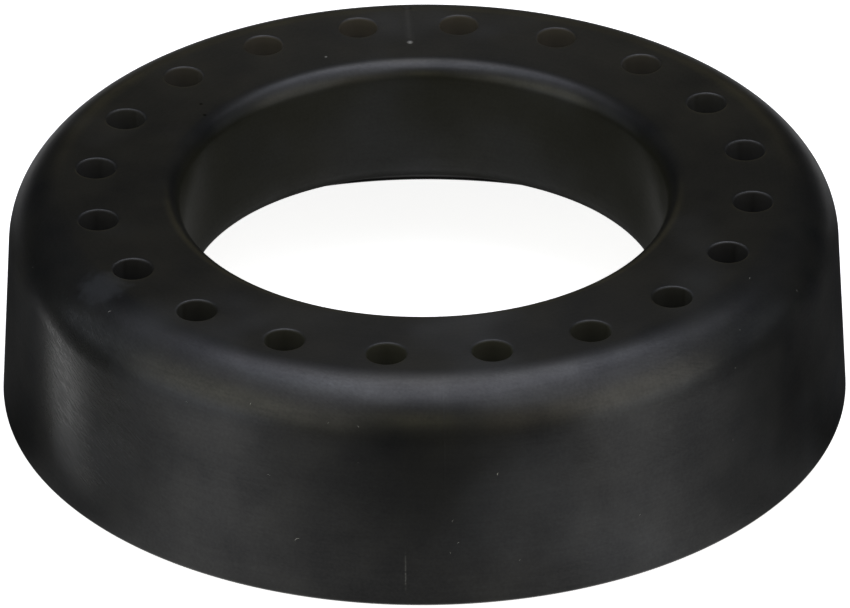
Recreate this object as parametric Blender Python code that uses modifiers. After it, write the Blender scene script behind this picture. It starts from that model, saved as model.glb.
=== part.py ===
# Coil spring insulator: one ring of black rubber that sits between a suspension coil spring and its perch.
# The ring is a turned section, swept once round, with a circle of blind holes cored into its flat top.
# Metres, +Z up, origin at the centre of the rim that it stands on.

from math import acos, ceil, cos, pi, radians, sin, tan

import bmesh
import bpy
from mathutils import Vector

# Overall section, as radius and height about the ring's axis
BORE_DIAMETER = 0.0762
RING_WIDTH = 0.0319
FLANGE_THICKNESS = 0.0214
SKIRT_DEPTH = 0.0165
SKIRT_WALL = 0.0034

# Draft angles that let the ring leave its mould
OUTER_DRAFT = radians(3.25)
BORE_DRAFT = radians(6.0)
SKIRT_INNER_DRAFT = radians(1.5)

# Edge radii
TOP_OUTER_RADIUS = 0.0098
TOP_BORE_RADIUS = 0.0034
SEAT_BORE_RADIUS = 0.0026
SEAT_SKIRT_RADIUS = 0.0050
RIM_OUTER_RADIUS = 0.0008
RIM_INNER_RADIUS = 0.0012

# Blind holes in the top face
HOLE_COUNT = 20
HOLE_DIAMETER = 0.0064
HOLE_MARGIN = 0.0011
HOLE_FLOOR = 0.0064
HOLE_DRAFT = radians(1.0)
HOLE_MOUTH_RADIUS = 0.0004
HOLE_FLOOR_RADIUS = 0.0012
CORE_OVERRUN = 0.0020

# Facets
RING_FACETS = 100
HOLE_FACETS = 16
ARC_TOLERANCE = 0.00005
MERGE = 0.00001

# Sizes that follow from the ones above
TOP_Z = SKIRT_DEPTH + FLANGE_THICKNESS
BORE_RADIUS = BORE_DIAMETER / 2
BASE_RADIUS = BORE_RADIUS + RING_WIDTH
TOP_OUTER_CORNER = BASE_RADIUS - TOP_Z * tan(OUTER_DRAFT)
TOP_BORE_CORNER = BORE_RADIUS + FLANGE_THICKNESS * tan(BORE_DRAFT)
RIM_INNER_CORNER = BASE_RADIUS - SKIRT_WALL
SEAT_SKIRT_CORNER = RIM_INNER_CORNER - SKIRT_DEPTH * tan(SKIRT_INNER_DRAFT)
# A fillet between the level top and a wall that leans in by its draft reaches this far along the top.
TOP_FLAT_EDGE = TOP_OUTER_CORNER - TOP_OUTER_RADIUS * tan((pi / 2 - OUTER_DRAFT) / 2)
HOLE_CIRCLE_RADIUS = TOP_FLAT_EDGE - HOLE_MARGIN - HOLE_DIAMETER / 2
HOLE_DEPTH = FLANGE_THICKNESS - HOLE_FLOOR


def clear_scene():
    for obj in list(bpy.data.objects):
        bpy.data.objects.remove(obj, do_unlink=True)


def new_collection(name, hidden=False):
    collection = bpy.data.collections.new(name)
    collection.hide_render = hidden
    bpy.context.scene.collection.children.link(collection)
    return collection


def arc(centre, start, sweep):
    """Points from centre + start round by sweep, in chords that stray from the arc by ARC_TOLERANCE at most."""
    chords = max(1, ceil(abs(sweep) / (2 * acos(1 - ARC_TOLERANCE / start.length))))
    points = []
    for step in range(chords + 1):
        turn = sweep * step / chords
        points.append(
            centre
            + Vector((
                start.x * cos(turn) - start.y * sin(turn),
                start.x * sin(turn) + start.y * cos(turn),
            ))
        )
    return points


def rounded_outline(corners):
    """Points round a closed outline of (radius, height, fillet) corners."""
    points = []
    for index, (r, z, fillet) in enumerate(corners):
        corner = Vector((r, z))
        back = (Vector(corners[index - 1][:2]) - corner).normalized()
        ahead = (Vector(corners[(index + 1) % len(corners)][:2]) - corner).normalized()
        half_angle = acos(back.dot(ahead)) / 2
        centre = corner + (back + ahead).normalized() * (fillet / sin(half_angle))
        start = corner + back * (fillet / tan(half_angle)) - centre
        end = corner + ahead * (fillet / tan(half_angle)) - centre
        points += arc(centre, start, -start.angle_signed(end))
    return points


def turned_object(name, outline, closed, facets, collection):
    """The outline at +X, swept once round the Z axis by a Screw modifier."""
    bm = bmesh.new()
    verts = [bm.verts.new((point.x, 0.0, point.y)) for point in outline]
    for first, second in zip(verts, verts[1:]):
        bm.edges.new((first, second))
    if closed:
        bm.edges.new((verts[-1], verts[0]))
    mesh = bpy.data.meshes.new(name)
    bm.to_mesh(mesh)
    bm.free()
    obj = bpy.data.objects.new(name, mesh)
    collection.objects.link(obj)
    screw = obj.modifiers.new("turn", "SCREW")
    screw.axis = "Z"
    screw.steps = facets
    screw.render_steps = facets
    screw.use_merge_vertices = True
    screw.merge_threshold = MERGE
    return obj


def ring_outline():
    """The ring's section: across the top, down the outer wall, round the rim and up inside to the bore."""
    return rounded_outline([
        (TOP_BORE_CORNER, TOP_Z, TOP_BORE_RADIUS),
        (TOP_OUTER_CORNER, TOP_Z, TOP_OUTER_RADIUS),
        (BASE_RADIUS, 0.0, RIM_OUTER_RADIUS),
        (RIM_INNER_CORNER, 0.0, RIM_INNER_RADIUS),
        (SEAT_SKIRT_CORNER, SKIRT_DEPTH, SEAT_SKIRT_RADIUS),
        (BORE_RADIUS, SKIRT_DEPTH, SEAT_BORE_RADIUS),
    ])


def core_outline():
    """A core pin, from the axis above the top face down to the hole's floor, with the flare of its mouth."""
    wall_top = HOLE_DIAMETER / 2
    wall_bottom = wall_top - HOLE_DEPTH * tan(HOLE_DRAFT)
    mouth = wall_top + HOLE_MOUTH_RADIUS
    floor_z = TOP_Z - HOLE_DEPTH
    # The flare leaves the top face level and ends upright on the wall, and the floor's corner is rounded.
    flare = arc(Vector((mouth, TOP_Z - HOLE_MOUTH_RADIUS)), Vector((0, HOLE_MOUTH_RADIUS)), pi / 2)
    floor = arc(
        Vector((wall_bottom - HOLE_FLOOR_RADIUS, floor_z + HOLE_FLOOR_RADIUS)),
        Vector((HOLE_FLOOR_RADIUS, 0)),
        -pi / 2,
    )
    above = TOP_Z + CORE_OVERRUN
    return [Vector((0, above)), Vector((mouth, above)), *flare, *floor, Vector((0, floor_z))]


def moulded_rubber():
    material = bpy.data.materials.new("moulded_rubber")
    material.use_nodes = True
    shader = material.node_tree.nodes["Principled BSDF"]
    shader.inputs["Base Color"].default_value = (0.011, 0.011, 0.010, 1.0)
    shader.inputs["Roughness"].default_value = 0.48
    shader.inputs["Metallic"].default_value = 0.0
    return material


def core_pins(collection):
    """The pins that leave the blind holes, evenly spaced, with the ring's X and Y axes midway between pins."""
    pitch = 2 * pi / HOLE_COUNT
    for index in range(HOLE_COUNT):
        angle = (index + 0.5) * pitch
        pin = turned_object(f"core_pin_{index + 1:02d}", core_outline(), False, HOLE_FACETS, collection)
        pin.location = (HOLE_CIRCLE_RADIUS * cos(angle), HOLE_CIRCLE_RADIUS * sin(angle), 0.0)
        pin.rotation_euler.z = angle
        pin.hide_render = True
        pin.display_type = "WIRE"


def build_insulator():
    parts = new_collection("coil_spring_insulator")
    cutters = new_collection("cutters", hidden=True)
    ring = turned_object("insulator", ring_outline(), True, RING_FACETS, parts)
    ring.data.materials.append(moulded_rubber())
    core_pins(cutters)
    holes = ring.modifiers.new("blind_holes", "BOOLEAN")
    holes.operation = "DIFFERENCE"
    holes.operand_type = "COLLECTION"
    holes.collection = cutters
    holes.solver = "EXACT"
    return ring


def bake_and_smooth(ring):
    """Keeps the evaluated mesh, smooth but for its real edges."""
    graph = bpy.context.evaluated_depsgraph_get()
    mesh = bpy.data.meshes.new_from_object(ring.evaluated_get(graph))
    ring.modifiers.clear()
    ring.data = mesh
    mesh.shade_smooth()
    mesh.set_sharp_from_angle(angle=radians(32))


clear_scene()
insulator = build_insulator()
bake_and_smooth(insulator)
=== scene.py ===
from math import cos, hypot, pi, radians, sin, tan

import bpy
from mathutils import Matrix, Vector, noise


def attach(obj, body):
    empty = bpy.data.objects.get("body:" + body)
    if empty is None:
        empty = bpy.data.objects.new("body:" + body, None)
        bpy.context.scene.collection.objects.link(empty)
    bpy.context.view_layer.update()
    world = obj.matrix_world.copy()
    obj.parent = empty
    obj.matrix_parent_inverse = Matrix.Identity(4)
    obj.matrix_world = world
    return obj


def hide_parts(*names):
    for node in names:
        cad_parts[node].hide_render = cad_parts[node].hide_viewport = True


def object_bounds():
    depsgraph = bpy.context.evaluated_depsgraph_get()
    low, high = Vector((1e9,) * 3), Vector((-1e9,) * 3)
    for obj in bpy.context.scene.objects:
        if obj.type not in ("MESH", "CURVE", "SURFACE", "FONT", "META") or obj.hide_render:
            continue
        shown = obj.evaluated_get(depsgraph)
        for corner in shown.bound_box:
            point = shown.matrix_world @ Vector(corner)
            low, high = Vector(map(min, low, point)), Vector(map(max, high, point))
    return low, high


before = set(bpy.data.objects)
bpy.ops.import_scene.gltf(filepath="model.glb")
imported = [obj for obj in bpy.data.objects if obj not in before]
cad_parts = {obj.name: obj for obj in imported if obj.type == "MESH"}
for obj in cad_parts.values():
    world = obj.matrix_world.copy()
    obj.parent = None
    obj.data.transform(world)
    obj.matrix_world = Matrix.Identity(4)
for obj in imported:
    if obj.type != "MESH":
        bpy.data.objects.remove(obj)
cadLow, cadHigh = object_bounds()
mm = 0.001
print("frame: the packed ring is", [round(v / mm, 1) for v in cadHigh - cadLow], "mm")


def toLinear(hexCode):
    channels = [int(hexCode[i:i + 2], 16) / 255 for i in (1, 3, 5)]
    return tuple(c / 12.92 if c <= 0.04045 else ((c + 0.055) / 1.055) ** 2.4 for c in channels)


def toColour(hexCode):
    return (*toLinear(hexCode), 1.0)


def newObject(name, data):
    thing = bpy.data.objects.new(name, data)
    bpy.context.scene.collection.objects.link(thing)
    return thing


def addNode(tree, kind, inputs=(), **settings):
    # Inputs come by name or number, or as a list for the first sockets. A socket is linked, a value is set.
    node = tree.nodes.new("ShaderNode" + kind)
    for name, value in settings.items():
        setattr(node, name, value)
    named = inputs if isinstance(inputs, dict) else dict(enumerate(inputs))
    for name, value in named.items():
        if isinstance(value, bpy.types.NodeSocket):
            tree.links.new(value, node.inputs[name])
        else:
            node.inputs[name].default_value = value
    return node


def newMaterial(name):
    material = bpy.data.materials.new(name)
    material.use_nodes = True
    return material, material.node_tree, material.node_tree.nodes["Principled BSDF"]


def setStops(ramp, stops):
    elements = ramp.color_ramp.elements
    while len(elements) < len(stops):
        elements.new(0.5)
    for element, (position, colour) in zip(elements, stops):
        element.position = position
        element.color = colour


# Camera: long lens from well above, turned so that the mould's split line comes just right of centre
cameraSettings = {
    "azimuth": -92.55,
    "elevation": 31.06,
    "distance": 1750,
    "aimHeight": 15.1,
    "aimRight": 0.14,
    "roll": -0.32,
    "lens": 446,
    "sensor": 36,
    "clipNear": 50,
    "clipFar": 60000,
}


def onSphere(around, elevation, distance):
    # A point at a distance from the origin: around is counted from the camera's side, to the right
    azimuth = radians(cameraSettings["azimuth"] + around)
    rise = radians(elevation)
    direction = Vector((cos(rise) * cos(azimuth), cos(rise) * sin(azimuth), sin(rise)))
    return direction * distance * mm


def makeCamera():
    data = bpy.data.cameras.new("camera")
    camera = newObject("camera", data)
    data.sensor_width = cameraSettings["sensor"]
    data.lens = cameraSettings["lens"]
    data.clip_start = cameraSettings["clipNear"] * mm
    data.clip_end = cameraSettings["clipFar"] * mm
    camera.location = onSphere(0, cameraSettings["elevation"], cameraSettings["distance"])
    right = onSphere(90, 0, cameraSettings["aimRight"])
    target = right + Vector((0, 0, cameraSettings["aimHeight"] * mm))
    look = (target - camera.location).to_track_quat("-Z", "Y")
    roll = Matrix.Rotation(radians(cameraSettings["roll"]), 4, "Z")
    camera.rotation_euler = (look.to_matrix().to_4x4() @ roll).to_euler()
    bpy.context.scene.camera = camera


makeCamera()

# Ring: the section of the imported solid, turned with fine facets
ring = {
    "boreDiameter": 76.2,
    "width": 31.9,
    "skirt": 16.5,
    "skirtWall": 3.4,
    "outerDraft": 3.25,
    "boreDraft": 6.0,
    "skirtDraft": 1.5,
    "topOuterRadius": 9.8,
    "rimOuterRadius": 0.8,
    "rimInnerRadius": 1.2,
    "seatSkirtRadius": 5.0,
    "seatBoreRadius": 2.6,
    "topBoreRadius": 3.4,
    "filletSteps": (40, 5, 5, 8, 6, 14),
    "wallSteps": (16, 2, 6, 8, 8),
    "columnsPerHole": 20,
    "spokeSteps": 12,
    "fineSpokeSteps": 90,
    "waviness": 0.012,
    "wavinessLength": 11,
    "ripple": 0.3,
    "rippleShortness": 0.37,
    "rippleShift": (31, 7, 3),
    "rimDepth": 2,
}

# Blind holes: left by tapered core pins, with softly rounded mouths
hole = {
    "count": 20,
    "diameter": 6.4,
    "margin": 1.1,
    "floor": 6.4,
    "draft": 1.0,
    "mouthRadius": 0.4,
    "floorRadius": 1.2,
    "loops": 6,
    "loopCrowding": 1.4,
    "filletSteps": 5,
    "wallSteps": 3,
    "floorShares": (0.6, 0.25),
    "cornerBearings": (-48, 48, 132, 228, 312),
}

# Split: the two sides where the mould's halves met, with finer columns for what the joint left there
split = {
    "azimuths": (90, 270),
    "halfWidth": 1.5,
    "slack": 0.01,
    "columns": 24,
    "seamWidth": 0.28,
    "seamHeight": 0.03,
    "seamFadeIn": 6,
    "seamTop": 29,
    "seamFadeOut": 12,
    "landWidth": 1.7,
    "landDepth": 0.02,
    "landSoftness": 0.2,
    "landOverrun": 1.0,
    "landEnd": 0.5,
    "ventRadius": 48.1,
    "ventSize": 1.1,
    "ventDepth": 0.24,
    "nickRadius": 60.3,
    "nickWidth": 1.7,
    "nickLength": 1.5,
    "nickDepth": 0.22,
    "nickInset": 0.4,
    "nickSoftness": 0.5,
    "nickOverrun": 2.5,
}

topZ = cadHigh.z / mm
flange = topZ - ring["skirt"]
boreRadius = ring["boreDiameter"] / 2
baseRadius = boreRadius + ring["width"]


def sectionCorners():
    # Radius, height and fillet of each corner, from the top's outer edge round the rim to the top of the bore
    topOuter = baseRadius - topZ * tan(radians(ring["outerDraft"]))
    rimInner = baseRadius - ring["skirtWall"]
    seatSkirt = rimInner - ring["skirt"] * tan(radians(ring["skirtDraft"]))
    topBore = boreRadius + flange * tan(radians(ring["boreDraft"]))
    return [
        (topOuter, topZ, ring["topOuterRadius"]),
        (baseRadius, 0, ring["rimOuterRadius"]),
        (rimInner, 0, ring["rimInnerRadius"]),
        (seatSkirt, ring["skirt"], ring["seatSkirtRadius"]),
        (boreRadius, ring["skirt"], ring["seatBoreRadius"]),
        (topBore, topZ, ring["topBoreRadius"]),
    ]


def sectionRows():
    # Points with their outward normals, down the outer wall, round the rim and back up through the bore
    corners = sectionCorners()
    fillets = []
    for index, ((r, z, radius), steps) in enumerate(zip(corners, ring["filletSteps"])):
        corner = Vector((r, z))
        back = (Vector(corners[index - 1][:2]) - corner).normalized()
        ahead = (Vector(corners[(index + 1) % len(corners)][:2]) - corner).normalized()
        halfAngle = back.angle(ahead) / 2
        centre = corner + (back + ahead).normalized() * (radius / sin(halfAngle))
        start = corner + back * (radius / tan(halfAngle)) - centre
        end = corner + ahead * (radius / tan(halfAngle)) - centre
        sweep = -start.angle_signed(end)
        outward = 1 if sweep < 0 else -1
        rows = []
        for step in range(steps + 1):
            spoke = Matrix.Rotation(sweep * step / steps, 2) @ start
            rows.append((centre + spoke, spoke.normalized() * outward))
        fillets.append(rows)
    rows = list(fillets[0])
    for previous, following, steps in zip(fillets, fillets[1:], ring["wallSteps"]):
        start, normal = previous[-1]
        end = following[0][0]
        rows += [(start.lerp(end, step / steps), normal) for step in range(1, steps)]
        rows += following
    return rows


rows = sectionRows()
flatOuter = rows[0][0].x
flatInner = rows[-1][0].x
holeCircle = flatOuter - hole["margin"] - hole["diameter"] / 2


def bump(distance, reach):
    # 1 at no distance, falling smoothly to 0 at the reach
    share = min(abs(distance) / reach, 1)
    return (1 - share * share) ** 2


def splitChange(point, radius, across):
    change = 0
    if radius > flatOuter:
        fadeIn = min((radius - flatOuter) / split["seamFadeIn"], 1)
        fadeOut = bump(max(split["seamTop"] - point.z, 0), split["seamFadeOut"])
        change += split["seamHeight"] * bump(across, split["seamWidth"] / 2) * fadeIn * fadeOut
    if point.y > 0 and radius < flatOuter + split["nickOverrun"]:
        pastLand = across - (split["landWidth"] - split["landSoftness"]) / 2
        beforeLand = split["ventRadius"] - split["landOverrun"] - radius
        onLand = bump(max(pastLand, 0), split["landSoftness"]) * bump(max(beforeLand, 0), split["landEnd"])
        fromVent = hypot(across, point.y - split["ventRadius"])
        pastNick = across - split["nickWidth"] / 2 + split["nickInset"]
        alongNick = bump(point.y - split["nickRadius"], split["nickLength"] / 2)
        change -= split["landDepth"] * onLand
        change -= split["ventDepth"] * bump(fromVent, split["ventSize"] / 2)
        change -= split["nickDepth"] * bump(max(pastNick, 0), split["nickSoftness"]) * alongNick
    return change


def surfaceChange(point, normal):
    # How far the moulded surface stands off the drawn one: inward, but for the fine seam
    if normal.z < -0.5 and point.z < ring["rimDepth"]:
        # The rim's underside stays level, so that the ring stands on it
        return 0
    length = ring["wavinessLength"]
    slow = noise.noise(point / length)
    quick = noise.noise(point / (length * ring["rippleShortness"]) + Vector(ring["rippleShift"]))
    change = ring["waviness"] * (slow + ring["ripple"] * quick - 1 - ring["ripple"])
    radius = hypot(point.x, point.y)
    across = abs(point.x)
    if across < split["halfWidth"] and normal.z > -0.5 and radius > flatInner:
        change += splitChange(point, radius, across)
    return change


def moulded(radius, height, azimuth, normalR, normalZ):
    turn = radians(azimuth)
    point = Vector((radius * cos(turn), radius * sin(turn), height))
    normal = Vector((normalR * cos(turn), normalR * sin(turn), normalZ))
    return (point + normal * surfaceChange(point, normal)) * mm


def columnAngles():
    # Column azimuths all round, with the first and last column of each hole's stretch
    angles = []
    stretches = []
    pitch = 360 / hole["count"]
    for index in range(hole["count"]):
        start = index * pitch
        end = start + pitch
        if start in split["azimuths"]:
            half = split["halfWidth"]
            fine = split["columns"]
            angles += [start - half + 2 * half * step / fine for step in range(fine)]
            start += half
        if end in split["azimuths"]:
            end -= split["halfWidth"]
        first = len(angles)
        steps = ring["columnsPerHole"]
        angles += [start + (end - start) * step / steps for step in range(steps)]
        if end in split["azimuths"] or index == hole["count"] - 1:
            stretches.append((first, len(angles)))
        else:
            stretches.append((first, first + steps))
    return angles, stretches


def makeRingMesh():
    angles, stretches = columnAngles()
    columns = len(angles)
    points = []
    faces = []
    for azimuth in angles:
        for point, normal in rows:
            points.append(moulded(point.x, point.y, azimuth, normal.x, normal.y))
    depth = len(rows)

    def at(column, row):
        return (column % columns) * depth + row

    for column in range(columns):
        for row in range(depth - 1):
            faces.append((at(column, row), at(column, row + 1), at(column + 1, row + 1), at(column + 1, row)))

    spokes = {}

    def spoke(column):
        # Points across the flat top, from its outer edge to its bore, shared by the faces on both sides
        column %= columns
        if column not in spokes:
            fine = abs(angles[column] - split["azimuths"][0]) <= split["halfWidth"] + split["slack"]
            steps = ring["fineSpokeSteps"] if fine else ring["spokeSteps"]
            found = [at(column, 0)]
            for step in range(1, steps):
                radius = flatOuter + (flatInner - flatOuter) * step / steps
                found.append(len(points))
                points.append(moulded(radius, topZ, angles[column], 0, 1))
            spokes[column] = found + [at(column, depth - 1)]
        return spokes[column]

    # The flat top between one hole's stretch and the next, where columns are finer
    for (_, end), (start, _) in zip(stretches, stretches[1:] + stretches[:1]):
        column = end
        while column % columns != start:
            near, far = spoke(column), spoke(column + 1)
            for step in range(min(len(near), len(far)) - 1):
                faces.append((near[step + 1], near[step], far[step], far[step + 1]))
            column += 1

    for start, end in stretches:
        addHole(points, faces, angles, start, end, at, spoke, depth)
    mesh = bpy.data.meshes.new("insulator_ring")
    mesh.from_pydata(points, [], faces)
    mesh.shade_smooth()
    mesh.update()
    addDistances(mesh, columns * depth)
    return mesh


def addDistances(mesh, turnedCount):
    # For the material: how far along the section each point lies, and how deep down a hole, both in mm
    lengths = [0.0]
    for (point, _), (following, _) in zip(rows, rows[1:]):
        lengths.append(lengths[-1] + (following - point).length)
    whole = lengths[-1] + flatOuter - flatInner
    middle = (boreRadius + baseRadius) / 2
    onRows = [length if point.x > middle else length - whole for length, (point, _) in zip(lengths, rows)]
    along = []
    deep = []
    for index, vertex in enumerate(mesh.vertices):
        if index < turnedCount:
            along.append(onRows[index % len(rows)])
            deep.append(0.0)
        else:
            along.append(hypot(vertex.co.x, vertex.co.y) / mm - flatOuter)
            deep.append(max(topZ - vertex.co.z / mm, 0.0))
    for name, values in (("along", along), ("deep", deep)):
        mesh.attributes.new(name, "FLOAT", "POINT").data.foreach_set("value", values)


def holeRows():
    # Radius and height down a hole's wall, from just inside its rounded mouth to its floor
    wallTop = hole["diameter"] / 2
    depth = flange - hole["floor"]
    wallFoot = wallTop - depth * tan(radians(hole["draft"]))
    mouth = hole["mouthRadius"]
    corner = hole["floorRadius"]
    turns = [pi / 2 * step / hole["filletSteps"] for step in range(1, hole["filletSteps"] + 1)]
    wallStart = topZ - mouth
    wallEnd = topZ - depth + corner
    found = [(wallTop + mouth * (1 - sin(turn)), topZ - mouth * (1 - cos(turn))) for turn in turns]
    for step in range(1, hole["wallSteps"] + 1):
        share = step / hole["wallSteps"]
        found.append((wallTop + (wallFoot - wallTop) * share, wallStart + (wallEnd - wallStart) * share))
    found += [(wallFoot - corner * (1 - cos(turn)), wallEnd - corner * sin(turn)) for turn in turns]
    return found


def addHole(points, faces, angles, start, end, at, spoke, depth):
    # Loops that grow from the hole's round mouth to the edges of its stretch of the flat top
    steps = end - start
    outer = [at(column, 0) for column in range(start, end)]
    rightSpoke = spoke(end)
    inner = [at(column, depth - 1) for column in range(end, start, -1)]
    leftSpoke = spoke(start)
    edge = outer + rightSpoke[:-1] + inner + leftSpoke[:0:-1]
    lastAngle = angles[end] if end < len(angles) else 360
    middle = angles[start] + (lastAngle - angles[start]) / 2
    halfPitch = 180 / hole["count"]
    turn = radians(round(middle / halfPitch) * halfPitch)
    centre = Vector((holeCircle * cos(turn), holeCircle * sin(turn), topZ)) * mm
    # The mouth's points are shared out so that the stretch's four corners meet four of them squarely
    marks = [0, steps, steps + len(rightSpoke) - 1, 2 * steps + len(rightSpoke) - 1, len(edge)]
    corners = hole["cornerBearings"]
    bearings = []
    for (first, last), (low, high) in zip(zip(marks, marks[1:]), zip(corners, corners[1:])):
        bearings += [low + (high - low) * step / (last - first) for step in range(last - first)]
    spokesOut = [Vector((cos(turn + radians(b)), sin(turn + radians(b)), 0)) for b in bearings]
    mouth = hole["diameter"] / 2 + hole["mouthRadius"]
    up = Vector((0, 0, 1))
    previous = edge
    for loop in range(hole["loops"] - 1, -1, -1):
        share = (loop / hole["loops"]) ** hole["loopCrowding"]
        current = []
        for index, direction in enumerate(spokesOut):
            inside = centre + direction * mouth * mm
            outside = points[edge[index]]
            spot = inside.lerp(Vector((outside.x, outside.y, centre.z)), share) / mm
            current.append(len(points))
            points.append((spot + up * surfaceChange(spot, up)) * mm)
        joinLoops(faces, previous, current)
        previous = current
    rim = [points[index].z for index in previous]
    for radius, height in holeRows():
        current = []
        for index, direction in enumerate(spokesOut):
            spot = centre + direction * radius * mm
            spot.z = rim[index] - (topZ - height) * mm
            current.append(len(points))
            points.append(spot)
        joinLoops(faces, previous, current)
        previous = current
    for share in hole["floorShares"]:
        floorMiddle = Vector((centre.x, centre.y, points[previous[0]].z))
        current = []
        for index in previous:
            current.append(len(points))
            points.append(floorMiddle.lerp(points[index], share))
        joinLoops(faces, previous, current)
        previous = current
    faces.append(tuple(previous))


def joinLoops(faces, outerLoop, innerLoop):
    count = len(outerLoop)
    for index in range(count):
        following = (index + 1) % count
        faces.append((outerLoop[index], outerLoop[following], innerLoop[following], innerLoop[index]))


insulatorRing = newObject("insulator_ring", makeRingMesh())
print("ring:", len(insulatorRing.data.polygons), "faces")

# Finish: natural rubber filled with carbon black, pressed in a turned steel mould
# It is near black, with the soft broad gloss of a moulded face. The mould's turning shows as faint rings,
# handling has left fine slanting scuffs, and wax has bloomed in soft blotches. Dust stays in the holes, which
# wiping misses, and its tones carry painted light and shade. Scuffs and turning marks are drawn two to three
# times as coarse as they are, so that a pixel can show them.
# Each range gives where a pattern starts and ends, and the values that it takes there.
# The tones of the dust, from the front of the ring to its back, and of the olive film are fitted to the photo.
# The dust's change from front to back and its lift with depth are painted light and shade, so they are no
# measure of real dust.
# The film's tone may stand in for light that this studio lacks, so it is no measure of real film.
rubber = {
    "black": "#101112",
    "warmBlack": "#1b1b19",
    "warmthRange": (0.3, 0.7, 0, 1),
    "ior": 1.5,
    "anisotropy": 0.6,
    "quarterTurn": 0.25,
    "turningPitch": 0.4,
    "turningLength": 9,
    "turningShare": 0.35,
    "turningHeight": 0.0008,
    "scuffPitch": 0.27,
    "scuffLength": 3.0,
    "scuffSlant": -24,
    "scuffPatch": 13,
    "scuffRange": (0.48, 0.66, 0.12, 0.5),
    "scuffHeight": 0.0016,
    "grain": 0.5,
    "grainShare": 0.6,
    "grainHeight": 0.0007,
    "blotch": 9,
    "blotchShare": 0.8,
    "wornRange": (0.5, 1.25),
    "wornSheen": (0.34, 0.66),
    "wornRoughness": (0.37, 0.28),
    "film": "#1b1b10",
    "filmRange": (-17.2, -20.8, 0, 0.9),
    "filmSheen": (-15.6, -18.6, 1, 0.73),
    "bloom": "#2b2d30",
    "bloomPatch": 24,
    "bloomRange": (0.52, 0.78, 0, 0.45),
    "bloomRoughness": 0.12,
    # Dust in the holes: its tones from front to back are painted light and shade
    "dustAndShadeStops": (
        (0, "#36362d"),
        (0.15, "#272723"),
        (0.3, "#222222"),
        (0.6, "#292929"),
        (0.75, "#2d2d2b"),
        (1, "#47433b"),
    ),
    "paintedShadeAcross": (-56, 56, 0, 1),
    # Where dust lies in the holes, from the mouth down; its colour there carries painted light and shade
    "dustAndShadeRange": (0, 0.3, 0, 1),
    # Dust paler deeper down the holes: painted light
    "paintedDepthLight": (1.6, 3.6, 0.95, 1.45),
    "dustRoughness": 0.4,
    "mattSheen": 0.15,
}

# Marks seen in the photograph, most with azimuth, radius, height, reach and strength
marks = {
    "rub": (-147, 68.5, 21),
    "rubRange": (24, 9.6, 0, 1.5),
    "rubPolish": 0.03,
    "smudges": (
        (-151.1, 60.8, 37.6, 3.2, 0.62),
        (-150.0, 69.3, 10.0, 4.0, 0.3),
        (-139.0, 69.0, 14.0, 5.0, 0.16),
    ),
    "smudgeEdge": 1.4,
    "smudgeRaggedness": 4,
    "smudgeFade": (4.2, 0.6),
    "paleMark": "#7a7a76",
    "paleSpots": (
        (90.0, 48.1, 37.8, 0.62, 0.9),
        (89.8, 63.4, 36.6, 0.75, 0.9),
        (108.1, 46.1, 37.9, 0.3, 0.9),
    ),
    "paleSpotCore": 0.35,
    "landLine": (0.5, 0.1, 0, 0.04),
    "landLength": (48.1, 50.1, 0, 1),
    "landHeight": (-5, -3, 0, 1),
    "scratchAzimuth": -95.2,
    "scratchWidth": (0.16, 0.06, 0, 1),
    "scratchFoot": (2.8, 4.8, 0, 1),
    "scratchTop": (10.8, 6.8, 0, 1),
    "scratchBreaks": (0.4, 0.6, 0.05, 0.35),
    "pinholes": ((141.0, 46.0, 37.9), (144.4, 43.3, 37.9)),
    "pinholeRange": (0.42, 0.21, 0, 1),
    # The pinholes' black is painted shade
    "pinholeShade": "#020202",
}


def onRing(azimuth, radius, height):
    turn = radians(azimuth)
    return Vector((radius * cos(turn), radius * sin(turn), height))


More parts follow.
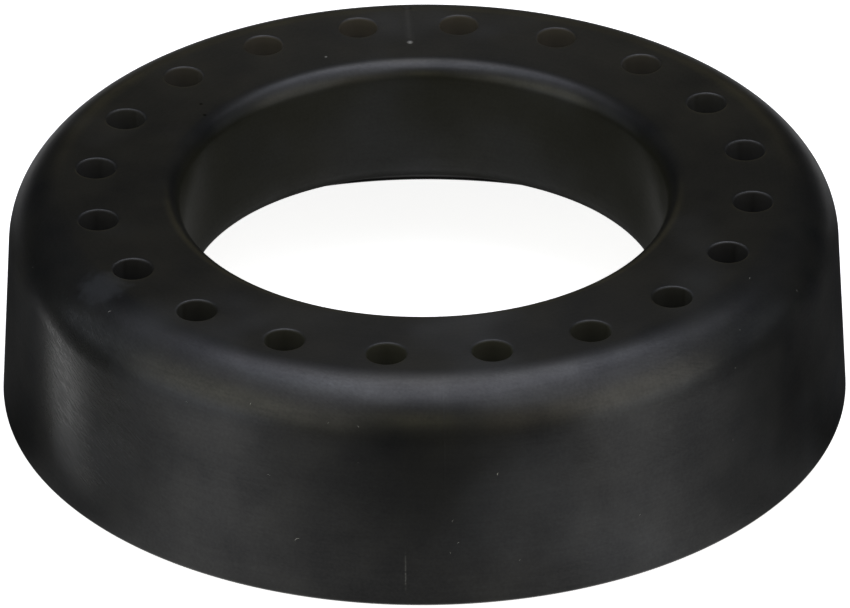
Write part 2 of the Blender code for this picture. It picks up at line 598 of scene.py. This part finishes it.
def makePatterns(tree):
    # Where each point is, in mm, and the patterns that colour, gloss and relief share
    place = addNode(tree, "TexCoord").outputs["Object"]
    place = addNode(tree, "VectorMath", {0: place, "Scale": 1 / mm}, operation="SCALE").outputs[0]
    x, y, z = addNode(tree, "SeparateXYZ", (place,)).outputs
    along = addNode(tree, "Attribute", attribute_name="along").outputs["Fac"]
    deep = addNode(tree, "Attribute", attribute_name="deep").outputs["Fac"]

    # Turning marks: noise stretched round the ring
    stretch = 1 / rubber["turningLength"]
    aroundMarks = addNode(tree, "VectorMath", (place, (stretch, stretch, 0)), operation="MULTIPLY").outputs[0]
    acrossMarks = addNode(tree, "Math", (along, 1 / rubber["turningPitch"]), operation="MULTIPLY").outputs[0]
    acrossMarks = addNode(tree, "CombineXYZ", {2: acrossMarks}).outputs[0]
    marksPlace = addNode(tree, "VectorMath", (aroundMarks, acrossMarks), operation="ADD").outputs[0]
    turning = addNode(tree, "TexNoise", {"Vector": marksPlace, "Scale": 1, "Detail": 3}).outputs[0]

    # Scuffs: noise stretched along a slant, in patches, strongest where the ring was rubbed
    toFront = addNode(tree, "Math", (y, -1), operation="MULTIPLY").outputs[0]
    turned = addNode(tree, "Math", (x, toFront), operation="ARCTAN2").outputs[0]
    arc = addNode(tree, "Math", (turned, baseRadius), operation="MULTIPLY").outputs[0]
    unrolled = addNode(tree, "CombineXYZ", (arc, along)).outputs[0]
    slant = {"Vector": unrolled, "Angle": radians(rubber["scuffSlant"])}
    slanted = addNode(tree, "VectorRotate", slant, rotation_type="Z_AXIS").outputs[0]
    scuffScale = (1 / rubber["scuffLength"], 1 / rubber["scuffPitch"], 0)
    scuffPlace = addNode(tree, "VectorMath", (slanted, scuffScale), operation="MULTIPLY").outputs[0]
    scuff = addNode(tree, "TexNoise", {"Vector": scuffPlace, "Scale": 1, "Detail": 2}).outputs[0]
    patchScale = 1 / rubber["scuffPatch"]
    patches = addNode(tree, "TexNoise", {"Vector": place, "Scale": patchScale, "Detail": 2}).outputs[0]
    patchy = (patches, *rubber["scuffRange"])
    scuffed = addNode(tree, "MapRange", patchy, interpolation_type="SMOOTHSTEP").outputs[0]
    rub = onRing(*marks["rub"])
    fromRub = addNode(tree, "VectorMath", (place, rub), operation="DISTANCE").outputs["Value"]
    nearRub = (fromRub, *marks["rubRange"])
    rubbed = addNode(tree, "MapRange", nearRub, interpolation_type="SMOOTHSTEP").outputs[0]
    scuffed = addNode(tree, "Math", (scuffed, rubbed), operation="MAXIMUM").outputs[0]
    scuff = addNode(tree, "Math", (scuff, 0.5), operation="SUBTRACT").outputs[0]
    scuff = addNode(tree, "Math", (scuff, scuffed), operation="MULTIPLY").outputs[0]

    grainScale = 1 / rubber["grain"]
    grain = addNode(tree, "TexNoise", {"Vector": place, "Scale": grainScale, "Detail": 2}).outputs[0]
    blotchScale = 1 / rubber["blotch"]
    blotch = addNode(tree, "TexNoise", {"Vector": place, "Scale": blotchScale, "Detail": 4}).outputs[0]
    # Where dust lies in the holes; its colour there carries painted light and shade
    dustAndShadeShare = (deep, *rubber["dustAndShadeRange"])
    return {
        "place": place,
        "x": x,
        "y": y,
        "z": z,
        "along": along,
        "deep": deep,
        "turned": turned,
        "turning": turning,
        "scuff": scuff,
        "rubbed": rubbed,
        "grain": grain,
        "blotch": blotch,
        "dustAndShadeShare": addNode(tree, "MapRange", dustAndShadeShare, interpolation_type="SMOOTHSTEP").outputs[0],
    }


def makeHaze(tree, pattern):
    # Wax bloom in clouds, and ragged smudges where hands held the ring
    place = pattern["place"]
    cloudScale = 1 / rubber["bloomPatch"]
    cloud = addNode(tree, "TexNoise", {"Vector": place, "Scale": cloudScale, "Detail": 2}).outputs[0]
    clouded = (cloud, *rubber["bloomRange"])
    haze = addNode(tree, "MapRange", clouded, interpolation_type="SMOOTHSTEP").outputs[0]
    edgeScale = 1 / marks["smudgeEdge"]
    edge = addNode(tree, "TexNoise", {"Vector": place, "Scale": edgeScale, "Detail": 2}).outputs[0]
    for azimuth, radius, height, reach, density in marks["smudges"]:
        spot = onRing(azimuth, radius, height)
        away = addNode(tree, "VectorMath", (place, spot), operation="DISTANCE").outputs["Value"]
        torn = (edge, marks["smudgeRaggedness"], away)
        ragged = addNode(tree, "Math", torn, operation="MULTIPLY_ADD").outputs[0]
        fadeStart, fadeEnd = (reach + past for past in marks["smudgeFade"])
        fading = (ragged, fadeStart, fadeEnd, 0, density)
        near = addNode(tree, "MapRange", fading, interpolation_type="SMOOTHSTEP").outputs[0]
        haze = addNode(tree, "Math", (near, haze), operation="MAXIMUM").outputs[0]
    return haze


def makeScratch(tree, pattern):
    # One short upright scratch, broken by the grain
    scratchTurn = radians(marks["scratchAzimuth"] + 90)
    aside = addNode(tree, "Math", (pattern["turned"], scratchTurn), operation="SUBTRACT").outputs[0]
    aside = addNode(tree, "Math", (aside,), operation="ABSOLUTE").outputs[0]
    aside = addNode(tree, "Math", (aside, baseRadius), operation="MULTIPLY").outputs[0]
    scratch = addNode(tree, "MapRange", (aside, *marks["scratchWidth"])).outputs[0]
    limits = (("z", "scratchFoot"), ("z", "scratchTop"), ("grain", "scratchBreaks"))
    for source, limit in limits:
        kept = addNode(tree, "MapRange", (pattern[source], *marks[limit])).outputs[0]
        scratch = addNode(tree, "Math", (scratch, kept), operation="MULTIPLY").outputs[0]
    return scratch


def makePaleMarks(tree, pattern):
    # Pale spots in the vent and at the land's back end, and a thin pale line along the land between them
    fromMiddle = addNode(tree, "Math", (pattern["x"],), operation="ABSOLUTE").outputs[0]
    fromTop = addNode(tree, "Math", (pattern["z"], topZ), operation="SUBTRACT").outputs[0]
    paleMark = addNode(tree, "MapRange", (fromMiddle, *marks["landLine"])).outputs[0]
    for value, limit in ((pattern["y"], "landLength"), (fromTop, "landHeight")):
        kept = addNode(tree, "MapRange", (value, *marks[limit])).outputs[0]
        paleMark = addNode(tree, "Math", (paleMark, kept), operation="MULTIPLY").outputs[0]
    for azimuth, radius, height, reach, density in marks["paleSpots"]:
        spot = onRing(azimuth, radius, height)
        away = addNode(tree, "VectorMath", (pattern["place"], spot), operation="DISTANCE").outputs["Value"]
        fading = (away, reach, reach * marks["paleSpotCore"], 0, density)
        near = addNode(tree, "MapRange", fading).outputs[0]
        paleMark = addNode(tree, "Math", (near, paleMark), operation="MAXIMUM").outputs[0]
    return paleMark


def makePinholeShade(tree, pattern):
    # Air trapped under the mould's face, drawn only as black matt dots: the black is painted shade in the pits
    level = 0.0
    for pinhole in marks["pinholes"]:
        spot = onRing(*pinhole)
        away = addNode(tree, "VectorMath", (pattern["place"], spot), operation="DISTANCE").outputs["Value"]
        near = addNode(tree, "MapRange", (away, *marks["pinholeRange"])).outputs[0]
        level = addNode(tree, "Math", (near, level), operation="MAXIMUM").outputs[0]
    return level


def makeRubber():
    material, tree, shader = newMaterial("moulded_black_rubber")
    pattern = makePatterns(tree)
    haze = makeHaze(tree, pattern)
    pinholes = makePinholeShade(tree, pattern)
    dustAndShadeShare = pattern["dustAndShadeShare"]

    # Dust in the holes, in fitted tones from front to back and paler deeper down: both are painted light and
    # shade
    paintedShadeSide = addNode(tree, "MapRange", (pattern["y"], *rubber["paintedShadeAcross"])).outputs[0]
    dustAndShade = addNode(tree, "ValToRGB", (paintedShadeSide,))
    setStops(dustAndShade, [(position, toColour(tone)) for position, tone in rubber["dustAndShadeStops"]])
    paintedDepthLift = addNode(tree, "MapRange", (pattern["deep"], *rubber["paintedDepthLight"])).outputs[0]
    paintedLiftInputs = {0: dustAndShade.outputs["Color"], "Scale": paintedDepthLift}
    dustAndShade = addNode(tree, "VectorMath", paintedLiftInputs, operation="SCALE").outputs[0]

    # Colour: two blacks in blotches, then each thing that lies over them
    warmth = addNode(tree, "MapRange", (pattern["blotch"], *rubber["warmthRange"])).outputs[0]
    filmed = (pattern["along"], *rubber["filmRange"])
    film = addNode(tree, "MapRange", filmed, interpolation_type="SMOOTHSTEP").outputs[0]
    layers = (
        (warmth, toColour(rubber["warmBlack"])),
        (film, toColour(rubber["film"])),
        (haze, toColour(rubber["bloom"])),
        # dust, with painted light and shade in its tones
        (dustAndShadeShare, dustAndShade),
        (makeScratch(tree, pattern), toColour(marks["paleMark"])),
        (makePaleMarks(tree, pattern), toColour(marks["paleMark"])),
        # pinholes: black painted shade in the pits
        (pinholes, toColour(marks["pinholeShade"])),
    )
    colour = toColour(rubber["black"])
    for share, over in layers:
        colour = addNode(tree, "Mix", {0: share, 6: colour, 7: over}, data_type="RGBA").outputs[2]
    tree.links.new(colour, shader.inputs["Base Color"])

    # Gloss: brighter and tighter where the face is polished, duller in scuffs, haze, film and dust
    worn = pattern["scuff"]
    for source, share in (("turning", "turningShare"), ("blotch", "blotchShare"), ("grain", "grainShare")):
        weighed = (pattern[source], rubber[share], worn)
        worn = addNode(tree, "Math", weighed, operation="MULTIPLY_ADD").outputs[0]
    sheen = addNode(tree, "MapRange", (worn, *rubber["wornRange"], *rubber["wornSheen"])).outputs[0]
    filmed = (pattern["along"], *rubber["filmSheen"])
    filmSheen = addNode(tree, "MapRange", filmed, interpolation_type="SMOOTHSTEP").outputs[0]
    sheen = addNode(tree, "Math", (sheen, filmSheen), operation="MULTIPLY").outputs[0]
    matt = addNode(tree, "Math", (pinholes, dustAndShadeShare), operation="MAXIMUM").outputs[0]
    sheen = addNode(tree, "Mix", {0: matt, 2: sheen, 3: rubber["mattSheen"]}, data_type="FLOAT").outputs[0]
    tree.links.new(sheen, shader.inputs["Specular IOR Level"])
    rough = addNode(tree, "MapRange", (worn, *rubber["wornRange"], *rubber["wornRoughness"])).outputs[0]
    rougher = (
        (pattern["rubbed"], -marks["rubPolish"]),
        (haze, rubber["bloomRoughness"]),
        (dustAndShadeShare, rubber["dustRoughness"]),
    )
    for source, share in rougher:
        rough = addNode(tree, "Math", (source, share, rough), operation="MULTIPLY_ADD").outputs[0]
    tree.links.new(rough, shader.inputs["Roughness"])

    # Relief in mm, which the bump node's distance turns into metres
    relief = 0.0
    for source, height in (("turning", "turningHeight"), ("scuff", "scuffHeight"), ("grain", "grainHeight")):
        raised = (pattern[source], rubber[height], relief)
        relief = addNode(tree, "Math", raised, operation="MULTIPLY_ADD").outputs[0]
    uneven = addNode(tree, "Bump", {"Height": relief, "Distance": mm, "Strength": 1.0})
    tree.links.new(uneven.outputs["Normal"], shader.inputs["Normal"])

    shader.inputs["IOR"].default_value = rubber["ior"]
    shader.inputs["Anisotropic"].default_value = rubber["anisotropy"]
    shader.inputs["Anisotropic Rotation"].default_value = rubber["quarterTurn"]
    aroundRing = addNode(tree, "Tangent", direction_type="RADIAL", axis="Z")
    tree.links.new(aroundRing.outputs["Tangent"], shader.inputs["Tangent"])
    return material


insulatorRing.data.materials.append(makeRubber())
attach(insulatorRing, "root")
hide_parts("insulator")

# Lint: a few short fibres and flecks that cling to the rubber
# Azimuth, radius, height, length, slant and thickness of each
lint = {
    "fibres": (
        (-82.8, 68.7, 23.6, 0.45, 80, 0.11),
        (-88.9, 69.1, 15.6, 0.5, 70, 0.08),
        (-109.8, 69.4, 10.6, 0.9, 35, 0.08),
        (-113.9, 68.8, 21.4, 0.5, -10, 0.06),
        (-105.7, 67.5, 32.1, 0.35, 60, 0.06),
        (-101.6, 67.6, 32.0, 0.35, -40, 0.06),
        (-101.5, 68.5, 25.8, 0.3, 15, 0.06),
        (-138.6, 68.5, 25.7, 0.35, 50, 0.06),
        (-117.0, 67.1, 32.9, 0.4, 75, 0.06),
        (-32.5, 60.9, 37.6, 0.4, 20, 0.06),
        (-27.2, 66.6, 33.7, 0.4, 65, 0.06),
        (-42.0, 65.9, 34.7, 0.35, -30, 0.06),
        (-45.3, 68.2, 30.2, 0.35, 10, 0.06),
        (-46.4, 69.0, 17.6, 0.3, 80, 0.06),
        (-62.7, 69.4, 11.1, 0.35, 40, 0.06),
        (-89.3, 69.4, 9.8, 0.4, -60, 0.06),
        (-88.2, 69.3, 11.6, 0.3, 30, 0.06),
        (-145.6, 63.5, 36.6, 0.55, 60, 0.12),
        (-126.6, 68.1, 30.5, 0.4, -5, 0.06),
        (-80.0, 69.6, 7.5, 0.3, 45, 0.06),
        (-165.9, 66.6, 33.7, 0.3, 25, 0.06),
    ),
    "bend": 0.22,
    "rise": 0.2,
    "flatness": 0.7,
    "shares": (-0.5, -0.2, 0.15, 0.5),
    "thicknesses": (0.55, 1.0, 1.0, 0.55),
    "sides": 6,
    "colour": "#a2a29c",
    "greyColour": "#5c5c58",
    "mottle": 2.5,
    "mottleRange": (0.35, 0.65, 0, 1),
    "roughness": 0.85,
}


def makeLintMesh():
    points = []
    faces = []
    sides = lint["sides"]
    shares = lint["shares"]
    for azimuth, radius, height, length, slant, thickness in lint["fibres"]:
        _, spot, normal, _ = insulatorRing.closest_point_on_mesh(onRing(azimuth, radius, height) * mm)
        level = Vector((0, 0, 1)).cross(onRing(azimuth, 1, 0)).normalized()
        across = normal.cross(level).normalized()
        lean = radians(slant)
        forward = level * cos(lean) + across * sin(lean)
        sideways = normal.cross(forward)
        first = len(points)
        for share, taper in zip(shares, lint["thicknesses"]):
            arch = lint["bend"] * length * (1 - 4 * share * share)
            offset = forward * length * share + sideways * arch + normal * thickness * lint["rise"]
            for side in range(sides):
                turn = 2 * pi * side / sides
                spoke = sideways * cos(turn) + normal * sin(turn) * lint["flatness"]
                points.append(spot + offset * mm + spoke * thickness / 2 * taper * mm)
        for step in range(len(shares) - 1):
            for side in range(sides):
                near = first + step * sides + side
                beside = first + step * sides + (side + 1) % sides
                faces.append((near, beside, beside + sides, near + sides))
        faces.append(tuple(first + side for side in reversed(range(sides))))
        faces.append(tuple(first + (len(shares) - 1) * sides + side for side in range(sides)))
    mesh = bpy.data.meshes.new("lint_flecks")
    mesh.from_pydata(points, [], faces)
    mesh.shade_smooth()
    return mesh


def makeLintMaterial():
    # Pale cotton and paper dust, greyed by the rubber
    material, tree, shader = newMaterial("pale_lint")
    place = addNode(tree, "TexCoord").outputs["Object"]
    scale = 1 / (lint["mottle"] * mm)
    mixed = addNode(tree, "TexNoise", {"Vector": place, "Scale": scale, "Detail": 2}).outputs[0]
    share = addNode(tree, "MapRange", (mixed, *lint["mottleRange"])).outputs[0]
    tones = {0: share, 6: toColour(lint["greyColour"]), 7: toColour(lint["colour"])}
    colour = addNode(tree, "Mix", tones, data_type="RGBA").outputs[2]
    tree.links.new(colour, shader.inputs["Base Color"])
    shader.inputs["Roughness"].default_value = lint["roughness"]
    return material


lintFlecks = newObject("lint_flecks", makeLintMesh())
lintFlecks.data.materials.append(makeLintMaterial())
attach(lintFlecks, "root")
print("lint:", len(lint["fibres"]), "fibres")

# Sweep: white background paper, level round the part and curved up into a wall far behind it on every side
sweep = {
    "paper": "#f4f4f3",
    "roughness": 0.7,
    "white": "#ffffff",
    "whiteness": 0.9,
    "levelRadius": 4500,
    "bendRadius": 1200,
    "bendSteps": 12,
    "wallHeight": 2500,
    "sides": 128,
}


def sweepProfile(lift):
    # Radius and height from the middle out over the floor, round the bend and up the wall, set in by the lift
    level = sweep["levelRadius"]
    bend = sweep["bendRadius"]
    found = [(0, lift), (level, lift)]
    for step in range(1, sweep["bendSteps"] + 1):
        turn = pi / 2 * step / sweep["bendSteps"]
        found.append((level + (bend - lift) * sin(turn), bend - (bend - lift) * cos(turn)))
    found.append((level + bend - lift, sweep["wallHeight"]))
    return found


def makeTurned(name, profile, material):
    sides = sweep["sides"]
    loops = len(profile)
    points = []
    faces = []
    for side in range(sides):
        turn = 2 * pi * side / sides
        for radius, height in profile:
            points.append(Vector((radius * cos(turn), radius * sin(turn), height)) * mm)
        following = (side + 1) % sides
        for loop in range(loops - 1):
            near = side * loops + loop
            far = following * loops + loop
            faces.append((near, near + 1, far + 1, far))
    mesh = bpy.data.meshes.new(name)
    mesh.from_pydata(points, [], faces)
    mesh.materials.append(material)
    mesh.shade_smooth()
    thing = newObject(name, mesh)
    return thing


def makePaper():
    # Smooth matt paper. The camera, a gloss or a glass also sees a white of its own, under the ring's shadow.
    material, tree, shader = newMaterial("white_background_paper")
    shader.inputs["Base Color"].default_value = toColour(sweep["paper"])
    shader.inputs["Roughness"].default_value = sweep["roughness"]
    rays = addNode(tree, "LightPath").outputs
    seen = rays["Is Camera Ray"]
    for ray in ("Is Glossy Ray", "Is Transmission Ray"):
        seen = addNode(tree, "Math", (seen, rays[ray]), operation="ADD", use_clamp=True).outputs[0]
    strength = addNode(tree, "Math", (seen, sweep["whiteness"]), operation="MULTIPLY").outputs[0]
    shader.inputs["Emission Color"].default_value = toColour(sweep["white"])
    tree.links.new(strength, shader.inputs["Emission Strength"])
    material.cycles.emission_sampling = "NONE"
    return material


makeTurned("sweep", sweepProfile(0), makePaper())
print("sweep: laid")

# Studio: soft boxes and panels
# Each has its angle from the camera's side, elevation, distance, width, height, radiance and colour.
# Radiances and colours are fitted to the photo's tones.
studio = {
    "overhead": (180, 84, 1000, 880, 860, 0.9, "#f8fafe"),
    "overhead_core": (0, 86, 960, 440, 660, 1.3, "#eaecff"),
    "overhead_left": (-90, 73, 1000, 330, 330, 1.22, "#ddeaff"),
    "overhead_right": (90, 73, 1000, 330, 330, 0.54, "#d7dbff"),
    "overhead_back": (180, 74, 1000, 560, 250, 0.88, "#fff8ea"),
    "overhead_back_left": (-135, 68, 1000, 330, 330, 0.69, "#c9ccff"),
    "overhead_back_right": (135, 68, 1000, 330, 330, 1.45, "#dee5ff"),
    "overhead_front": (0, 71, 1000, 560, 260, 0.9, "#eef2ff"),
    "back_right_upper": (116, 52, 1000, 360, 300, 0.8, "#eef1ff"),
    "back_left_upper": (-116, 52, 1000, 360, 300, 0.5, "#eef1ff"),
    "left_panel": (-60, 22, 1000, 700, 740, 1.3, "#fffde9"),
    "right_panel": (60, 22, 1000, 700, 740, 1.35, "#fffbef"),
    "left_inner": (-29, 24, 1050, 400, 600, 0.9, "#fffbe9"),
    "right_inner": (29, 24, 1050, 400, 600, 0.57, "#fff1cc"),
    "left_upper": (-58, 55, 1050, 900, 380, 0.64, "#f3f3ff"),
    "right_upper": (58, 55, 1050, 900, 380, 1.22, "#f1f4ff"),
    "left_strip": (-58, 4, 960, 620, 110, 1.22, "#91b1ff"),
    "right_strip": (58, 4, 960, 620, 110, 0.84, "#c0dcff"),
    "left_side": (-97, 22, 1050, 440, 620, 0.41, "#eef5ff"),
    "right_side": (97, 22, 1050, 440, 620, 0.32, "#edf4ff"),
    "front_card": (0, 32, 1000, 300, 220, 1.25, "#fff6bd"),
    "back_low": (180, 17, 1000, 600, 300, 0.19, "#fff1b8"),
}


def makeLight(name, around, elevation, distance, width, height, radiance, colour):
    data = bpy.data.lights.new(name, "AREA")
    data.shape = "RECTANGLE"
    data.size = width * mm
    data.size_y = height * mm
    data.energy = radiance * pi * data.size * data.size_y
    data.color = toLinear(colour)
    light = newObject(name, data)
    light.location = onSphere(around, elevation, distance)
    light.rotation_euler = (-light.location).to_track_quat("-Z", "Y").to_euler()
    light.visible_camera = False


for name, settings in studio.items():
    makeLight(name, *settings)
print("studio:", len(studio), "lights")

# Felt: a black sheet over the paper that keeps the gloss dark, as flags do round any black part in a studio
# Only reflections see it, so it hides nothing from the camera and takes no light off the paper. It is thin
# where the gloss may show the paper. The shares of paper that show go by the bearing from the camera's side,
# near the ring and far from it, and are fitted to the photo's gloss. The other ranges go by the distance from
# the ring's axis.
felt = {
    "black": "#050505",
    "lift": 0.5,
    "nearShares": ((0, 0.25), (34, 0.46), (56, 0.12), (76, 0.01), (92, 0.025), (112, 0.015), (180, 0.02)),
    "farShares": (
        (0, 0.0),
        (28, 0.2),
        (40, 0.5),
        (56, 0.33),
        (72, 0.11),
        (84, 0.02),
        (96, 0.05),
        (120, 0.02),
        (150, 0.27),
        (180, 0.13),
    ),
    "nearToFar": (77, 122, 0, 1),
    "fadeOut": (260, 450, 1, 0),
    "inBore": (14, 44, 0.46, 0.08),
    "underSeat": (58, 63, 0, 0.95),
    "skirtRadius": 66,
}


def onlyForGloss(thing):
    thing.visible_camera = False
    thing.visible_diffuse = False
    thing.visible_transmission = False
    thing.visible_volume_scatter = False
    thing.visible_shadow = False


def makeFelt():
    # Matt black wool, seen through where the shares let the paper show
    material, tree, shader = newMaterial("black_felt")
    shader.inputs["Base Color"].default_value = toColour(felt["black"])
    shader.inputs["Roughness"].default_value = 1
    shader.inputs["Specular IOR Level"].default_value = 0
    place = addNode(tree, "NewGeometry").outputs["Position"]
    place = addNode(tree, "VectorMath", {0: place, "Scale": 1 / mm}, operation="SCALE").outputs[0]
    toCamera = onSphere(0, 0, 1).normalized()
    toRight = onSphere(90, 0, 1).normalized()
    front = addNode(tree, "VectorMath", (place, toCamera), operation="DOT_PRODUCT").outputs["Value"]
    side = addNode(tree, "VectorMath", (place, toRight), operation="DOT_PRODUCT").outputs["Value"]
    side = addNode(tree, "Math", (side,), operation="ABSOLUTE").outputs[0]
    bearing = addNode(tree, "Math", (side, front), operation="ARCTAN2").outputs[0]
    halfTurns = addNode(tree, "Math", (bearing, pi), operation="DIVIDE").outputs[0]
    shares = []
    for stops in (felt["nearShares"], felt["farShares"]):
        ramp = addNode(tree, "ValToRGB", (halfTurns,))
        ramp.color_ramp.interpolation = "EASE"
        setStops(ramp, [(angle / 180, (share, share, share, 1)) for angle, share in stops])
        shares.append(ramp.outputs["Color"])
    distance = addNode(tree, "VectorMath", (place,), operation="LENGTH").outputs["Value"]
    ranges = {}
    for name in ("nearToFar", "fadeOut", "inBore", "underSeat"):
        stretch = (distance, *felt[name])
        ranges[name] = addNode(tree, "MapRange", stretch, interpolation_type="SMOOTHSTEP").outputs[0]
    blend = {0: ranges["nearToFar"], 2: shares[0], 3: shares[1]}
    outside = addNode(tree, "Mix", blend, data_type="FLOAT").outputs[0]
    outside = addNode(tree, "Math", (outside, ranges["fadeOut"]), operation="MULTIPLY").outputs[0]
    inside = addNode(tree, "Math", (ranges["inBore"], ranges["underSeat"]), operation="ADD").outputs[0]
    inSkirt = addNode(tree, "Math", (distance, felt["skirtRadius"]), operation="LESS_THAN").outputs[0]
    thin = addNode(tree, "Mix", {0: inSkirt, 2: outside, 3: inside}, data_type="FLOAT").outputs[0]
    cover = addNode(tree, "Math", (1.0, thin), operation="SUBTRACT", use_clamp=True).outputs[0]
    tree.links.new(cover, shader.inputs["Alpha"])
    onlyForGloss(makeTurned("felt", sweepProfile(felt["lift"]), material))


makeFelt()

# A glowing strip on the felt at the ring's left, no lamp but 1.7 times white by its own emission: the gloss
# mirrors it as the bright patch on that side
# Rear and front are its sharp edge and its thin one, in mm to the camera's side and to the left. Cover is how
# much of it shows from edge to edge, and reach from end to end.
glowingStrip = {
    "rear": ((40, 61), (33, 71), (17, 90), (3, 108), (-23, 141), (-52, 173)),
    "front": ((57, 50), (51, 62), (40, 89), (27, 109), (0, 135), (-34, 161)),
    "cover": (1, 0.97, 0.85, 0.62, 0.42, 0.24, 0.1, 0),
    "reach": (0, 0.2, 0.8, 1, 1, 0.9),
    "black": "#000000",
    "white": "#ffffff",
    "brightness": 1.7,
    "lift": 1.0,
}


def makeGlowingStrip():
    # Glowing strip: black but for the white that it sends into the gloss by its own emission; it is no lamp
    material, tree, shader = newMaterial("glowing_white_strip")
    shader.inputs["Base Color"].default_value = toColour(glowingStrip["black"])
    shader.inputs["Specular IOR Level"].default_value = 0
    shader.inputs["Emission Color"].default_value = toColour(glowingStrip["white"])
    shader.inputs["Emission Strength"].default_value = glowingStrip["brightness"]
    cover = addNode(tree, "Attribute", attribute_name="cover").outputs["Fac"]
    tree.links.new(cover, shader.inputs["Alpha"])
    material.cycles.emission_sampling = "NONE"
    toCamera = onSphere(0, 0, 1).normalized()
    toLeft = onSphere(-90, 0, 1).normalized()
    lift = Vector((0, 0, glowingStrip["lift"]))
    covers = glowingStrip["cover"]
    across = len(covers)
    points = []
    faces = []
    for pair, (rear, front) in enumerate(zip(glowingStrip["rear"], glowingStrip["front"])):
        for step in range(across):
            forward, leftward = Vector(rear).lerp(Vector(front), step / (across - 1))
            points.append((toCamera * forward + toLeft * leftward + lift) * mm)
            if pair and step:
                corner = len(points) - 1
                faces.append((corner, corner - 1, corner - 1 - across, corner - across))
    mesh = bpy.data.meshes.new("glowing_side_strip")
    mesh.from_pydata(points, [], faces)
    mesh.materials.append(material)
    layer = mesh.attributes.new("cover", "FLOAT", "POINT")
    layer.data.foreach_set("value", [reach * cover for reach in glowingStrip["reach"] for cover in covers])
    thing = newObject("glowing_side_strip", mesh)
    onlyForGloss(thing)


makeGlowingStrip()
print("felt and side paper: laid")

# Room: dim white walls above the paper
room = {
    "white": "#ffffff",
    "strength": 0.03,
}


def makeRoom():
    world = bpy.data.worlds.new("studio_room")
    world.use_nodes = True
    background = world.node_tree.nodes["Background"]
    background.inputs["Color"].default_value = toColour(room["white"])
    background.inputs["Strength"].default_value = room["strength"]
    bpy.context.scene.world = world


makeRoom()
bpy.context.scene.view_settings.view_transform = "Standard"
